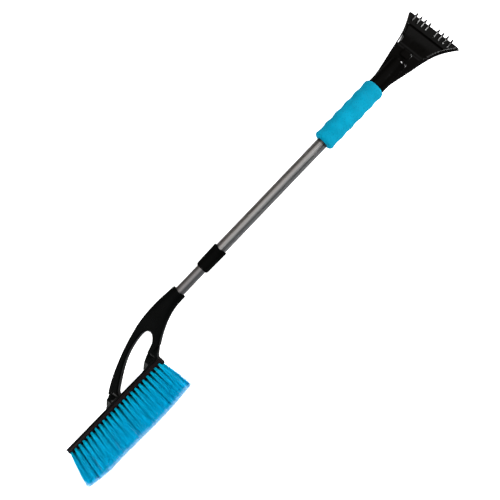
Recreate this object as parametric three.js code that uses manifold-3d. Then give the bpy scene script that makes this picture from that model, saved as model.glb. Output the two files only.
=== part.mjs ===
// A telescopic snow brush with an ice scraper head.
//
// The pole lies along X, with the scraper head at +X and the brush at -X. The
// bristles point to -Y, and Z is up. Lengths are in millimetres. Every piece is
// drawn in the pole's own frame, where x = 0 is near the brush end of the lock
// collar and the pole's axis is y = z = 0. The finished group is then moved so
// that its origin is under the middle of its box.
import * as THREE from 'three';
import { mergeVertices } from 'three/addons/utils/BufferGeometryUtils.js';
import Module from 'manifold-3d';

const wasm = await Module();
wasm.setup();

// ---- Driving dimensions ---------------------------------------------------

const gap = 0.3; // clearance between neighbouring pieces

const innerRadius = 8.75; // aluminium tube that carries the brush
const innerStart = -86;
const innerEnd = 335;
const outerRadius = 10; // aluminium tube that carries the grip and the head
const outerStart = 12.5;
const outerEnd = 458;
const tubeWall = 0.8;

const collarStart = -3.6; // twist lock
const collarEnd = 42.5;
const collarRadius = 11.9;
const collarFlare = 0.8; // the collar is this much wider at its head end

const gripStart = 283.5; // foam grip
const gripEnd = 409.2;
const gripRadius = 18.5;
const gripRounding = 5;
const gripSwells = [288, 312, 333.5, 357, 379.5, 402]; // x of the grip's swellings
const gripHollow = 1.25; // how much slimmer it is between them

const headRoll = THREE.MathUtils.degToRad(-10.6); // the head against the brush
const neckRadius = 14.7;
const neckEnd = 462;
const bladeEdge = 547.2; // x of the scraping edge
const toothTip = 553;
const toothPitch = 9.55;
const rimHeight = 3.3; // the plate's top over the pole's axis, next to the neck
const bladeDrop = 12.8; // how far the plate curves down from there to its edge
const recessDepth = 3;
const recessStart = 484;
const recessRamp = 11; // over which the tray gets its full depth
const recessEnd = 528.5;
const plateThickness = 2.5;
const skirtDepth = 7;

const mouth = -54.9; // brush end: where the tube enters the yoke
const yokeHalfDepth = 12;
const barStart = -366; // brush bar
const barEnd = -155.6;
const barHalfDepth = 13.3;
const railThickness = 3;
const blockFront = 58.1; // how far the block's front corners are from the axis
const blockCrown = 5.3; // how far its front bulges past them

const tuftCount = 23; // tufts in each row
const tuftPitch = 9.15;
const firstTuft = -161.6;
const tuftRadius = 2.2;
const rowHeights = [11, 3.7, -3.7, -11];
const rowFan = THREE.MathUtils.degToRad(0.27); // outward lean per mm of height
const rowTip = 122;

const roundSegments = 36;
const screwSegments = 20;

// ---- Materials ------------------------------------------------------------

const plastic = (color, roughness) => new THREE.MeshStandardMaterial({ color, roughness, metalness: 0 });
const metal = (color, roughness) => new THREE.MeshStandardMaterial({ color, roughness, metalness: 1 });

const blackGloss = () => plastic(0x17171a, 0.32);
const blackSatin = () => plastic(0x1b1e1d, 0.5);
const blackBrush = () => plastic(0x1d1a1b, 0.6);
const greyNylon = () => plastic(0x6c6f72, 0.55);
const aluminium = () => metal(0xa9a49b, 0.38);
const screwSteel = () => metal(0x8f9194, 0.35);
const blueFoam = () => plastic(0x12a5d0, 0.9);
const blueBristle = () => plastic(0x0a93cf, 0.5);

// ---- Geometry helpers -----------------------------------------------------

// A closed three.js geometry as a solid, with its faces turned outward.
function solid(geometry) {
  geometry.deleteAttribute('normal');
  geometry.deleteAttribute('uv');
  const merged = mergeVertices(geometry, 1e-4);
  const vertProperties = new Float32Array(merged.attributes.position.array);
  const triVerts = keepRealTriangles(merged.index.array);
  if (signedVolume(vertProperties, triVerts) < 0) {
    triVerts.reverse();
  }
  const mesh = new wasm.Mesh({ numProp: 3, vertProperties, triVerts });
  return new wasm.Manifold(mesh);
}

// Merging can fold a triangle onto an edge, as at the pole of a turned shape.
function keepRealTriangles(index) {
  const kept = [];
  for (let i = 0; i < index.length; i += 3) {
    const [a, b, c] = [index[i], index[i + 1], index[i + 2]];
    if (a !== b && b !== c && c !== a) {
      kept.push(a, b, c);
    }
  }
  return Uint32Array.from(kept);
}

function signedVolume(points, index) {
  const corner = (i) => new THREE.Vector3().fromArray(points, 3 * i);
  let volume = 0;
  for (let i = 0; i < index.length; i += 3) {
    const [a, b, c] = [corner(index[i]), corner(index[i + 1]), corner(index[i + 2])];
    volume += a.dot(b.cross(c)) / 6;
  }
  return volume;
}

function geometryOf(body) {
  const mesh = body.getMesh();
  const geometry = new THREE.BufferGeometry();
  geometry.setAttribute('position', new THREE.BufferAttribute(mesh.vertProperties, 3));
  geometry.setIndex(new THREE.BufferAttribute(mesh.triVerts, 1));
  geometry.computeVertexNormals();
  return geometry;
}

function piece(name, body, material) {
  const mesh = new THREE.Mesh(geometryOf(body), material);
  mesh.name = name;
  return mesh;
}

const union = (bodies) => bodies.reduce((sum, next) => sum.add(next));
const cut = (body, tools) => tools.reduce((rest, tool) => rest.subtract(tool), body);

// A shape turned about the pole's axis. Its profile is a list of [x, radius]
// that starts and ends on the axis, or closes on itself.
function turned(profile, segments = roundSegments) {
  const points = profile.map(([x, radius]) => new THREE.Vector2(radius, x));
  const geometry = new THREE.LatheGeometry(points, segments);
  return solid(geometry.rotateZ(-Math.PI / 2));
}

function ring(start, end, outer, inner, segments) {
  return turned([[start, inner], [start, outer], [end, outer], [end, inner], [start, inner]], segments);
}

function rod(start, end, radius, segments) {
  return turned([[start, 0], [start, radius], [end, radius], [end, 0]], segments);
}

// A flat outline in the XY plane, made solid from z = bottom to z = top.
function slab(outline, bottom, top, bevel = 0) {
  const geometry = new THREE.ExtrudeGeometry(outline, {
    depth: top - bottom - 2 * bevel,
    bevelEnabled: bevel > 0,
    bevelThickness: bevel,
    bevelSize: bevel,
    bevelOffset: -bevel,
    bevelSegments: 2,
    curveSegments: 3,
  });
  return solid(geometry.translate(0, 0, bottom + bevel));
}

function polygon(points) {
  return new THREE.Shape(points.map(([x, y]) => new THREE.Vector2(x, y)));
}

// A box whose corners, edges and faces are moved by place(u, v, w): u runs from
// 0 to 1 along the box, v from -1 to 1 across it and w from 0 to 1 up it.
function formed(lengthSteps, widthSteps, heightSteps, place) {
  const geometry = new THREE.BoxGeometry(1, 2, 1, lengthSteps, widthSteps, heightSteps);
  const position = geometry.attributes.position;
  for (let i = 0; i < position.count; i += 1) {
    const point = place(position.getX(i) + 0.5, position.getY(i), position.getZ(i) + 0.5);
    position.setXYZ(i, ...point);
  }
  return solid(geometry);
}

// A smooth function through hand-chosen [x, value] pairs.
function curveThrough(pairs) {
  const xs = pairs.map(([x]) => x);
  const values = pairs.map(([, value]) => value);
  const interpolant = new THREE.CubicInterpolant(xs, values, 1);
  return (x) => interpolant.evaluate(THREE.MathUtils.clamp(x, xs[0], xs[xs.length - 1]))[0];
}

// A screw that points along -Z, with the top of its head at the origin.
function screw(headRadius, headHeight, shankRadius, length) {
  const profile = [
    [0, 0],
    [0, headRadius],
    [headHeight, headRadius],
    [headHeight, shankRadius],
    [length, shankRadius],
    [length, 0],
  ];
  const cross = slab(crossShape(headRadius * 0.7, headRadius * 0.16), -headHeight / 2, headHeight);
  return turned(profile, screwSegments).rotate([0, 90, 0]).subtract(cross);
}

// The outline of a cross recess with arms of the given length and half width.
function crossShape(arm, half) {
  return polygon([
    [arm, -half], [arm, half], [half, half], [half, arm], [-half, arm], [-half, half],
    [-arm, half], [-arm, -half], [-half, -half], [-half, -arm], [half, -arm], [half, -half],
  ]);
}

const toDegrees = THREE.MathUtils.radToDeg;

// ---- Pole -----------------------------------------------------------------

const screwShank = 1.4;
const screwHole = screwShank + gap;
const screwHead = 3.2;
const headScrewX = 438;
const yokeScrewX = -74;

// A radial hole on the underside of the pole, turned about its axis by roll.
function undersideHole(x, radius, from, to, roll = 0) {
  const hole = rod(from, to, radius, screwSegments).rotate([0, 90, 0]);
  return hole.translate([x, 0, 0]).rotate([toDegrees(roll), 0, 0]);
}

// A hole along Y at x, from y = top down to y = bottom.
function acrossHole(x, radius, top, bottom) {
  return rod(bottom, top, radius, screwSegments).rotate([0, 0, 90]).translate([x, 0, 0]);
}

function makeOuterTube() {
  const tube = ring(outerStart, outerEnd, outerRadius, outerRadius - tubeWall);
  return tube.subtract(undersideHole(headScrewX, screwHole, 5, 15, headRoll));
}

function makeInnerTube() {
  const tube = ring(innerStart, innerEnd, innerRadius, innerRadius - tubeWall);
  return tube.subtract(undersideHole(yokeScrewX, screwHole, 5, 15));
}

// A plastic plug in the inner tube's end, whose flange runs in the outer tube.
function makeGuideBush() {
  const plugRadius = innerRadius - tubeWall - gap;
  const flangeRadius = outerRadius - tubeWall - 0.15;
  const bore = 4.5;
  return turned([
    [innerEnd - 16, bore],
    [innerEnd - 16, plugRadius - 0.5],
    [innerEnd - 14, plugRadius],
    [innerEnd + gap, plugRadius],
    [innerEnd + gap, flangeRadius],
    [innerEnd + 6, flangeRadius],
    [innerEnd + 7, flangeRadius - 1],
    [innerEnd + 7, bore],
    [innerEnd - 16, bore],
  ]);
}

// ---- Twist lock -----------------------------------------------------------

const colletStart = 2.8;
const colletEnd = outerStart - gap;
const colletRadius = 9.75; // at its tapered end
const colletShoulder = 10.3; // against the outer tube

function makeClampCollet() {
  const bore = innerRadius + gap;
  const body = turned([
    [colletStart, bore],
    [colletStart, colletRadius],
    [colletEnd, colletShoulder],
    [colletEnd, bore],
    [colletStart, bore],
  ]);
  const slotLength = 6;
  const slot = slab(polygon([
    [colletStart - 1, -0.5],
    [colletStart + slotLength, -0.5],
    [colletStart + slotLength, 0.5],
    [colletStart - 1, 0.5],
  ]), 0, 2 * outerRadius);
  const slots = [0, 90, 180, 270].map((angle) => slot.rotate([angle, 0, 0]));
  return cut(body, slots);
}

const sleeveStart = 16;
const sleeveEnd = 40;
const sleeveRadius = 11.1;

// The threaded sleeve on the outer tube's end that the collar screws onto.
function makeLockBase() {
  const bore = outerRadius + gap;
  const root = sleeveRadius - 0.35;
  const threadPitch = 5;
  const profile = [[sleeveStart, bore], [sleeveStart, root]];
  for (let x = sleeveStart + 2; x < sleeveEnd - 2; x += threadPitch) {
    profile.push([x, root], [x + 1, sleeveRadius], [x + 2, sleeveRadius], [x + 3, root]);
  }
  profile.push([sleeveEnd, root], [sleeveEnd, bore], [sleeveStart, bore]);
  return turned(profile, 24);
}

// A V-shaped notch across a round end, cut along Z, with its point at x = tip.
function notch(tip, open, halfWidth) {
  const beyond = open + Math.sign(open - tip) * 3;
  const reach = halfWidth * (beyond - tip) / (open - tip);
  return slab(polygon([[tip, 0], [beyond, -reach], [beyond, reach]]), -20, 20);
}

function makeLockCollar() {
  const bore = innerRadius + gap;
  const threadBore = sleeveRadius + gap;
  const chamfer = 1.9;
  const wideRadius = collarRadius + collarFlare;
  const edge = 0.5;
  const colletGap = gap + 0.05;
  const body = turned([
    [collarStart, bore],
    [collarStart, collarRadius - chamfer],
    [collarStart + 2.6, collarRadius],
    [collarEnd - 3, wideRadius],
    [collarEnd - edge, wideRadius],
    [collarEnd, wideRadius - edge],
    [collarEnd, threadBore],
    [sleeveStart - 2, threadBore],
    [outerStart + 0.5, colletShoulder + colletGap],
    [colletStart - gap, colletRadius + colletGap],
    [colletStart - gap, bore],
    [collarStart, bore],
  ], 40);
  return body.subtract(notch(collarEnd - 2.5, collarEnd, 8.5));
}

// ---- Foam grip ------------------------------------------------------------

// How much slimmer than its full radius the grip is at x, between its swellings.
function gripInset(x) {
  const next = gripSwells.findIndex((swell) => swell > x);
  if (next < 1) {
    return 0;
  }
  const share = (x - gripSwells[next - 1]) / (gripSwells[next] - gripSwells[next - 1]);
  return gripHollow * (1 - Math.cos(2 * Math.PI * share)) / 2;
}

function makeFoamGrip() {
  const bore = outerRadius + gap;
  const rounded = (end, inward) => [0, 30, 60, 90].map((degrees) => {
    const angle = THREE.MathUtils.degToRad(degrees);
    const x = end + inward * gripRounding * (1 - Math.sin(angle));
    return [x, gripRadius - gripRounding * (1 - Math.cos(angle))];
  });
  const station = 4;
  const side = [];
  for (let x = gripStart + 2 * station; x < gripEnd - 2 * station; x += station) {
    side.push([x, gripRadius - gripInset(x)]);
  }
  return turned([
    [gripStart, bore],
    ...rounded(gripStart, 1).reverse(),
    ...side,
    ...rounded(gripEnd, -1),
    [gripEnd, bore],
    [gripStart, bore],
  ], 32);
}

// ---- Scraper head ---------------------------------------------------------

const plateHalfWidth = curveThrough([
  [425, 14.4], [450, 19.3], [471, 23.8], [490, 27.5], [505, 31], [520, 36.3], [535, 44.2], [bladeEdge, 51.5],
]);
const skirtFlare = curveThrough([[425, 0.8], [480, 2], [515, 3], [bladeEdge, 3.7]]);
const skirtHeight = curveThrough([[425, 4], [450, 6], [480, skirtDepth], [bladeEdge, skirtDepth - 0.4]]);

// Height of the plate's top over the pole's axis.
function plateTop(x) {
  const along = Math.max(0, (x - 480) / (bladeEdge - 480));
  return rimHeight - bladeDrop * along ** 1.7;
}

function makePlate() {
  return formed(16, 8, 1, (u, v, w) => {
    const x = 425 + u * (bladeEdge - 425);
    const halfWidth = plateHalfWidth(x) + (1 - w) * skirtFlare(x);
    return [x, v * halfWidth, plateTop(x) - (1 - w) * skirtHeight(x)];
  });
}

// The space under the plate, between the skirts. It turns into the blade's
// wedge at the front and goes out past the edge.
function makeUnderside() {
  const skirtWall = 2.2;
  const start = 446;
  const end = bladeEdge + 2;
  const bladeThickness = 1.2;
  return formed(16, 6, 1, (u, v, w) => {
    const x = start + u * (end - start);
    const blade = THREE.MathUtils.smoothstep(x, recessEnd - 6, recessEnd);
    const wedge = THREE.MathUtils.mapLinear(x, recessEnd, bladeEdge, 4, bladeThickness);
    const thickness = THREE.MathUtils.lerp(recessDepth + plateThickness, wedge, blade);
    const lower = skirtHeight(x) + 2;
    const depth = THREE.MathUtils.lerp(lower, thickness, w);
    const halfWidth = plateHalfWidth(x) - skirtWall + (1 - w) * skirtFlare(x);
    return [x, v * halfWidth, plateTop(x) - depth];
  });
}

// The shallow tray on top of the plate, with sloped walls.
function makeRecess() {
  const rimWidth = 1.6;
  const slope = 2;
  return formed(14, 6, 1, (u, v, w) => {
    const end = recessEnd - (1 - w) * 0.8;
    const x = recessStart + u * (end - recessStart);
    const halfWidth = plateHalfWidth(x) - rimWidth - (1 - w) * slope;
    const depth = recessDepth * THREE.MathUtils.smoothstep(x, recessStart, recessStart + recessRamp);
    const height = w > 0.5 ? 1 : 0.2 - depth * 1.07;
    return [x, v * halfWidth, plateTop(x) + height];
  });
}

function makeNeck() {
  const profile = [[gripEnd + gap, 0], [gripEnd + gap, neckRadius]];
  const noseLength = 9.5;
  for (let degrees = 0; degrees < 90; degrees += 15) {
    const angle = THREE.MathUtils.degToRad(degrees);
    profile.push([neckEnd + noseLength * Math.sin(angle), neckRadius * Math.cos(angle)]);
  }
  profile.push([neckEnd + noseLength, 0]);
  return turned(profile);
}

// The low bump on the plate in front of the neck's nose: a flattened ball.
function makeNose() {
  const squareness = 4;
  const geometry = new THREE.SphereGeometry(1, 24, 12);
  const position = geometry.attributes.position;
  for (let i = 0; i < position.count; i += 1) {
    const point = new THREE.Vector3().fromBufferAttribute(position, i);
    const size = point.toArray().reduce((sum, value) => sum + Math.abs(value) ** squareness, 0);
    position.setXYZ(i, ...point.divideScalar(size ** (1 / squareness)));
  }
  geometry.scale(7, 9, 2.6);
  return solid(geometry.translate(481, 0, rimHeight));
}

// One ice-breaking tooth: a fin with a straight side, a sloped side and a
// point that stands out past the scraping edge.
function makeTooth(across) {
  const start = 534.5;
  const rootEnd = bladeEdge + 0.2;
  const baseWidth = 4;
  const crestWidth = 1.7;
  const crestHeight = 4.4;
  const sink = 0.6;
  return formed(5, 1, 1, (u, v, w) => {
    const end = THREE.MathUtils.lerp(rootEnd, toothTip, w);
    const x = start + u * (end - start);
    const onPlate = Math.min(x, bladeEdge);
    const height = 0.3 + crestHeight * Math.min(1, u * 1.6) - (x - onPlate) * 0.35;
    const taper = 1 - 0.6 * Math.max(0, u - 0.6) / 0.4;
    const width = w > 0.5 ? crestWidth : baseWidth * taper;
    const side = across + 0.85 - (v + 1) / 2 * width;
    return [x, side, plateTop(onPlate) + (w > 0.5 ? height : -sink)];
  });
}

function makeScraperHead() {
  const teeth = [];
  for (let i = 0; i < 4; i += 1) {
    const across = toothPitch * (i + 0.97);
    teeth.push(makeTooth(across), makeTooth(-across));
  }
  const shell = cut(makePlate(), [makeUnderside(), makeRecess()]);
  const head = union([shell, makeNeck(), makeNose(), ...teeth]);
  const socket = rod(gripEnd - 1, outerEnd + gap, outerRadius + gap);
  const counterbore = undersideHole(headScrewX, screwHead + gap, neckRadius - 2.4, neckRadius + 4);
  const hole = undersideHole(headScrewX, screwHole, 5, neckRadius);
  return cut(head, [socket, counterbore, hole]).rotate([toDegrees(headRoll), 0, 0]);
}

function makeHeadScrew() {
  const body = screw(screwHead, 1.8, screwShank, 9);
  const placed = body.rotate([180, 0, 0]).translate([headScrewX, 0, -neckRadius + 0.2]);
  return placed.rotate([toDegrees(headRoll), 0, 0]);
}

// ---- Brush yoke -----------------------------------------------------------

// The two legs, drawn as one outline round the opening between them. Their
// feet run into the rail.
function legsOutline() {
  const outline = new THREE.Shape();
  const through = (points) => outline.splineThru(points.map(([x, y]) => new THREE.Vector2(x, y)));
  outline.moveTo(-117, 14.9);
  through([[-133, 12.6], [-149, 9.5], [-178, 1.7], [-208, -9], [-237.5, -22.3], [-259, -35.5]]);
  outline.lineTo(-261, -50);
  outline.lineTo(-243.5, -50);
  outline.lineTo(-243.5, -46);
  through([[-239.5, -40.5], [-229, -33.5], [-209, -21.3], [-189, -12], [-169, -6.2], [-148, -3.7]]);
  through([[-138.5, -6.5], [-135, -12], [-136, -17.5], [-143, -24.8], [-150, -28.4], [-162, -32]]);
  outline.lineTo(-163.5, -50);
  outline.lineTo(barEnd, -50);
  outline.lineTo(barEnd, -48);
  through([[-149, -43.4], [-139, -37], [-128.5, -30.8], [-117, -25.4]]);
  outline.closePath();
  return outline;
}

// From the round mouth to the flatter body where the legs start.
function makeYokeThroat() {
  const upper = curveThrough([[-135, 12.3], [-119, 14.8], [-99, 15.8], [-79, 15], [mouth, 13.2]]);
  const lower = curveThrough([[-135, -34.4], [-119, -26.2], [-99, -18.4], [-79, -13.6], [mouth, -12.6]]);
  const squareness = curveThrough([[-135, 4.5], [-117, 3.6], [-90, 2.4], [mouth, 2]]);
  const round = 32;
  const geometry = new THREE.CylinderGeometry(1, 1, 1, round, 8);
  const position = geometry.attributes.position;
  for (let i = 0; i < position.count; i += 1) {
    const x = THREE.MathUtils.mapLinear(position.getY(i), -0.5, 0.5, -135, mouth);
    const [across, up] = [position.getX(i), position.getZ(i)];
    const power = squareness(x);
    const size = (Math.abs(across) ** power + Math.abs(up) ** power) ** (1 / power) || 1;
    const radius = Math.hypot(across, up);
    const middle = (upper(x) + lower(x)) / 2;
    const halfWidth = (upper(x) - lower(x)) / 2;
    const y = middle - across * radius / size * halfWidth;
    position.setXYZ(i, x, y, up * radius / size * (yokeHalfDepth + 0.1));
  }
  return solid(geometry);
}

// Thin webs that stiffen the corners between the feet and the rail.
function makeWebs() {
  const halfDepth = 5;
  const back = polygon([
    [-281, -50], [-281, -47.6], [-273, -44], [-264, -36.4], [-255, -33], [-250, -50],
  ]);
  const front = polygon([
    [-191, -50], [-191, -47.4], [-185, -43.2], [-178, -38.8], [-168, -34.2], [-160, -31.8], [-160, -50],
  ]);
  return [slab(back, -halfDepth, halfDepth), slab(front, -halfDepth, halfDepth)];
}

// Shallow pockets in both sides of the feet, over the webs.
function makePockets() {
  const floor = 2.5;
  const back = polygon([[-262, -46], [-262, -36], [-257, -32.5], [-250, -35], [-248, -46]]);
  const front = polygon([[-176, -45.5], [-175.5, -42.5], [-168, -37.5], [-161, -37], [-160, -45.5]]);
  const sides = [back, front].map((outline) => slab(outline, floor, 2 * yokeHalfDepth));
  return [...sides, ...sides.map((side) => side.mirror([0, 0, 1]))];
}

const railRight = 48.6; // how far the rail's outer face is from the axis at its ends
const railLeft = 46.7;

function makeRail() {
  const outline = polygon([
    [barEnd, -railRight], [barEnd, -railRight - railThickness],
    [barStart, -railLeft - railThickness], [barStart, -railLeft],
  ]);
  return slab(outline, -barHalfDepth, barHalfDepth, 0.6);
}

const blockScrewXs = [-346, -300, -218];
const blockScrewHead = 2.6;
const blockScrewShank = 1.2;
const blockScrewLength = 9;

// The rail's outer face at x.
const railFace = (x) => THREE.MathUtils.mapLinear(x, barStart, barEnd, -railLeft, -railRight);

function makeYoke() {
  const legs = slab(legsOutline(), -yokeHalfDepth, yokeHalfDepth, 2.4);
  const body = union([makeYokeThroat(), legs, ...makeWebs(), makeRail()]);
  const bore = rod(innerStart - 2, mouth + 1, innerRadius + gap);
  const undersideZ = yokeHalfDepth;
  const tools = [
    bore,
    notch(mouth - 1.6, mouth, 9.5),
    undersideHole(yokeScrewX, screwHead + gap, undersideZ - 1.6, undersideZ + 4),
    undersideHole(yokeScrewX, screwHole, 5, undersideZ),
    ...makePockets(),
  ];
  for (const x of blockScrewXs) {
    tools.push(acrossHole(x, blockScrewHead + gap, 2, railFace(x) - 1.6));
    tools.push(acrossHole(x, blockScrewShank + gap, 2, railFace(x) - 6));
  }
  return cut(body, tools);
}

function makeYokeScrew() {
  const body = screw(screwHead, 1.3, screwShank, 6.2);
  return body.rotate([180, 0, 0]).translate([yokeScrewX, 0, -yokeHalfDepth + 0.1]);
}

// ---- Brush block ----------------------------------------------------------

// The block's section, which bulges at the front, drawn along the bar. It is
// less deep at the brush's far end.
function makeBrushBlock() {
  const backRight = railRight + railThickness + gap;
  const backLeft = railLeft + railThickness + gap;
  const body = formed(6, 1, 8, (u, v, w) => {
    const x = THREE.MathUtils.lerp(barStart, barEnd, u);
    const z = THREE.MathUtils.lerp(-barHalfDepth, barHalfDepth, w);
    const back = THREE.MathUtils.lerp(backLeft, backRight, u);
    const crown = blockCrown * (1 - (z / barHalfDepth) ** 2);
    const front = THREE.MathUtils.lerp(blockFront - 3.4, blockFront, u) + crown;
    return [x, v > 0 ? -back : -front, z];
  });
  const holes = blockScrewXs.map((x) => {
    return acrossHole(x, blockScrewShank + gap, -40, railFace(x) - blockScrewLength);
  });
  return cut(body, holes);
}

function makeBlockScrew(x) {
  const body = screw(blockScrewHead, 1.2, blockScrewShank, blockScrewLength - 1);
  return body.rotate([-90, 0, 0]).translate([x, railFace(x) - 0.2, 0]);
}

// ---- Bristles -------------------------------------------------------------

// How far a tuft's tip stands along X from its root: the last tufts splay out.
const tuftLean = curveThrough([
  [-363, -20], [-345, -11], [-315, -6], [-280, -3.5], [-235, -1], [-200, 0], [-161, 5],
]);

// How far a row's roots are from the axis: just clear of the block's front.
function rowRoot(height) {
  const highest = (Math.abs(height) - tuftRadius) / barHalfDepth;
  return blockFront + blockCrown * (1 - highest ** 2) + gap;
}

// One row of tufts: separate at the root, and one mass further out.
function rowOutline(root) {
  const notchDepth = 18;
  const share = notchDepth / (rowTip - root);
  const points = [];
  for (let i = 0; i < tuftCount; i += 1) {
    const x = firstTuft - i * tuftPitch;
    points.push([x + tuftRadius, -root], [x - tuftRadius, -root]);
    if (i < tuftCount - 1) {
      const between = x - tuftPitch / 2;
      points.push([between + share * tuftLean(between), -root - notchDepth]);
    }
  }
  const last = firstTuft - (tuftCount - 1) * tuftPitch;
  points.push([last - tuftRadius + tuftLean(last), -rowTip + 2]);
  points.push([-300, -rowTip]);
  points.push([firstTuft + tuftRadius + tuftLean(firstTuft), -rowTip]);
  return polygon(points);
}

function makeBristleRow(height) {
  const root = rowRoot(height);
  const row = slab(rowOutline(root), -tuftRadius, tuftRadius).translate([0, root, 0]);
  return row.rotate([toDegrees(-height * rowFan), 0, 0]).translate([0, -root, height]);
}

// ---- Assembly -------------------------------------------------------------

const brush = new THREE.Group();
brush.add(piece('outer_tube', makeOuterTube(), aluminium()));
brush.add(piece('foam_grip', makeFoamGrip(), blueFoam()));
brush.add(piece('scraper_head', makeScraperHead(), blackGloss()));
brush.add(piece('head_screw', makeHeadScrew(), screwSteel()));
brush.add(piece('lock_base', makeLockBase(), greyNylon()));
brush.add(piece('clamp_collet', makeClampCollet(), greyNylon()));
brush.add(piece('lock_collar', makeLockCollar(), blackSatin()));
brush.add(piece('inner_tube', makeInnerTube(), aluminium()));
brush.add(piece('guide_bush', makeGuideBush(), greyNylon()));
brush.add(piece('yoke', makeYoke(), blackSatin()));
brush.add(piece('yoke_screw', makeYokeScrew(), screwSteel()));
brush.add(piece('brush_block', makeBrushBlock(), blackBrush()));
blockScrewXs.forEach((x, i) => {
  brush.add(piece(`block_screw_${i + 1}`, makeBlockScrew(x), screwSteel()));
});
rowHeights.forEach((height, i) => {
  brush.add(piece(`bristle_row_${i + 1}`, makeBristleRow(height), blueBristle()));
});

// The origin goes under the middle of the whole object's box.
const box = new THREE.Box3().setFromObject(brush, true);
brush.position.set(-(box.min.x + box.max.x) / 2, -(box.min.y + box.max.y) / 2, -box.min.z);

export default brush;
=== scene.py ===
"""The looks of a telescopic snow brush with an ice scraper head.

Shapes are drawn in the pole's own frame, in millimetres: x runs along the pole
towards the scraper, the bristles point to -y, z is up, and the pole's axis is
y = z = 0. place() moves them to the frame of the CAD model, in metres.
"""
import math

import bpy
import numpy as np
from mathutils import Matrix, Vector


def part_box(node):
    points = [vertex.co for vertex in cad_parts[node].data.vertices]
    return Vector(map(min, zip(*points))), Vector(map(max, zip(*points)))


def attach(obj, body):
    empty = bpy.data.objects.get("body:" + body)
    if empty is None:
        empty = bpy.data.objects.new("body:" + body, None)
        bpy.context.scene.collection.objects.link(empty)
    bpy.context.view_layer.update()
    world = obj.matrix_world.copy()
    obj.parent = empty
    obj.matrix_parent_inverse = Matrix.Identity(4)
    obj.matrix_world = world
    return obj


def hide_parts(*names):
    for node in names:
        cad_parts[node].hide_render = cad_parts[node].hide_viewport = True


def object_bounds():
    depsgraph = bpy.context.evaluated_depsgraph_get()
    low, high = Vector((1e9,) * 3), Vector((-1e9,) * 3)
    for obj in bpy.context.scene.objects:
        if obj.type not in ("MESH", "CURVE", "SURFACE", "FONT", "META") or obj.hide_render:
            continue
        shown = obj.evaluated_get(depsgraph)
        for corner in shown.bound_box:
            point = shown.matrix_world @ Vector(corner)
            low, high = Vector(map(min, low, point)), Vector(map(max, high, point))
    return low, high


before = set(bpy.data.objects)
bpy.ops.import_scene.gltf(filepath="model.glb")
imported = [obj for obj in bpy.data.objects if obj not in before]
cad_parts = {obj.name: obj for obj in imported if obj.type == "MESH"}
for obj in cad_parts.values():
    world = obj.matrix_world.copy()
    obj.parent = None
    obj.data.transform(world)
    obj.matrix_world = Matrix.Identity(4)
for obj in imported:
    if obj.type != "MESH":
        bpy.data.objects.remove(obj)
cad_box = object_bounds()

MM = 0.001

# ---- Where the CAD pieces are ----------------------------------------------

COLLAR_START = -3.6  # x of the lock collar's brush end
tube_low, tube_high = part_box("outer_tube")
ORIGIN = Vector((
    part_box("lock_collar")[0].x - COLLAR_START * MM,
    (tube_low.y + tube_high.y) / 2,
    (tube_low.z + tube_high.z) / 2,
))


def span(node, axis=0):
    """The start and end of a CAD node along an axis of the pole's frame."""
    low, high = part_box(node)
    return (low[axis] - ORIGIN[axis]) / MM, (high[axis] - ORIGIN[axis]) / MM


def place(points):
    """Points of the pole's frame as points of the CAD frame."""
    return np.asarray(points) * MM + np.array(ORIGIN)


# ---- Meshes ------------------------------------------------------------------

def make_object(name, points, faces, sharp_angle=40):
    """A mesh object from an array of points and an array of faces with as many sides each."""
    faces = np.asarray(faces, np.int32)
    sides = faces.shape[1]
    mesh = bpy.data.meshes.new(name)
    mesh.vertices.add(len(points))
    mesh.vertices.foreach_set("co", place(points).astype(np.float32).ravel())
    mesh.loops.add(faces.size)
    mesh.loops.foreach_set("vertex_index", faces.ravel())
    mesh.polygons.add(len(faces))
    mesh.polygons.foreach_set("loop_start", np.arange(0, faces.size, sides, dtype=np.int32))
    mesh.update(calc_edges=True)
    mesh.shade_smooth()
    if sharp_angle:
        mesh.set_sharp_from_angle(angle=math.radians(sharp_angle))
    item = bpy.data.objects.new(name, mesh)
    bpy.context.scene.collection.objects.link(item)
    return item


def finish_piece(item, body, material, node):
    """Gives a piece its material and its body, and hides the CAD node that it stands for."""
    item.data.materials.append(material)
    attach(item, body)
    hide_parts(node)


def rounded(corners, radius, steps=4):
    """A closed outline of [x, r] corners with each corner rounded off."""
    corners = [np.array(c, float) for c in corners]
    outline = []
    for i, corner in enumerate(corners):
        ends = []
        for side in (corners[i - 1] - corner, corners[(i + 1) % len(corners)] - corner):
            length = np.linalg.norm(side)
            ends.append(corner + side / length * min(radius, 0.45 * length))
        for t in np.linspace(0, 1, steps + 1):
            outline.append((1 - t) ** 2 * ends[0] + 2 * t * (1 - t) * corner + t ** 2 * ends[1])
    return np.array(outline)


def turned(outline, around, shift=None):
    """A closed outline of [x, r] turned about the pole's axis. shift(points) may bend it."""
    angles = np.linspace(0, 2 * math.pi, around, endpoint=False)
    x = np.repeat(outline[:, 0][:, None], around, 1)
    y = outline[:, 1][:, None] * np.cos(angles)
    z = outline[:, 1][:, None] * np.sin(angles)
    points = np.stack([x, y, z], -1).reshape(-1, 3)
    if shift:
        points = shift(points)
    count = len(outline)
    ring, spoke = np.meshgrid(np.arange(count), np.arange(around), indexing="ij")
    next_ring, next_spoke = (ring + 1) % count, (spoke + 1) % around
    faces = np.stack([
        ring * around + spoke, next_ring * around + spoke,
        next_ring * around + next_spoke, ring * around + next_spoke,
    ], -1).reshape(-1, 4)
    return points, faces if signed_volume(points, faces) > 0 else faces[:, ::-1]


def signed_volume(points, faces):
    a, b, c = (points[faces[:, i]] for i in (0, 1, 2))
    volume = np.einsum("ij,ij->i", a, np.cross(b, c)).sum()
    if faces.shape[1] == 4:
        d = points[faces[:, 3]]
        volume += np.einsum("ij,ij->i", a, np.cross(c, d)).sum()
    return volume


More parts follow.
